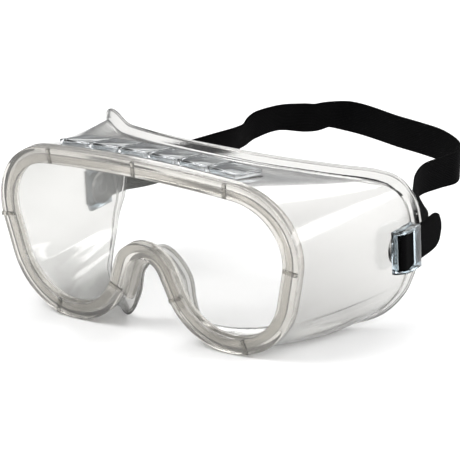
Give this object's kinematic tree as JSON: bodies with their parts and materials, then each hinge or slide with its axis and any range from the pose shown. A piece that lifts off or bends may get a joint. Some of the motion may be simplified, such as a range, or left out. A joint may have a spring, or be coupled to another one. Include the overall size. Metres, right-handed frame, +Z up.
{
  "type": "safety goggles",
  "caption": "Clear soft mask goggles with a rimmed wrap-round lens, hooded top vents and an elastic head strap on swivelling buckles, for eye protection in a workshop or laboratory.",
  "frame": {"origin": "on the table that the goggles rest on, below the middle of the lens's front", "axes": "+Z up, +Y from the lens back to the wearer's head, +X to the wearer's left"},
  "size_m": [0.173, 0.2058, 0.0827],
  "materials": {
    "lens_clear": "clear polished polycarbonate",
    "rim_pvc": "translucent grey moulded PVC",
    "mask_pvc": "soft clear moulded PVC",
    "buckle_clear": "clear hard moulded plastic",
    "webbing": "black woven elastic"
  },
  "bodies": {
    "goggles": {"lens": "lens_clear", "lens_rim": "rim_pvc", "lens_clips": "rim_pvc", "face_mask": "mask_pvc", "face_seal": "mask_pvc", "nose_saddle": "rim_pvc", "vent_tray": "mask_pvc", "vent_cap_1": "mask_pvc", "vent_cap_2": "mask_pvc", "vent_cap_3": "mask_pvc", "vent_cap_4": "mask_pvc", "vent_cap_5": "mask_pvc", "vent_cap_6": "mask_pvc", "strap_lug_left": "mask_pvc", "strap_lug_right": "mask_pvc", "stud_cap_left": "buckle_clear", "stud_cap_right": "buckle_clear"},
    "strap": {"buckle_left": "buckle_clear", "buckle_right": "buckle_clear", "buckle_bar_left": "buckle_clear", "buckle_bar_right": "buckle_clear", "strap_end_left": "webbing", "strap_end_right": "webbing", "head_strap": "webbing"}
  },
  "joints": [
    {"name": "strap_swing", "type": "hinge", "parent": "goggles", "child": "strap", "pos_m": [0, 0.0795, 0.0354], "axis": [1, 0, 0], "range_deg": [-20, 25]}
  ]
}
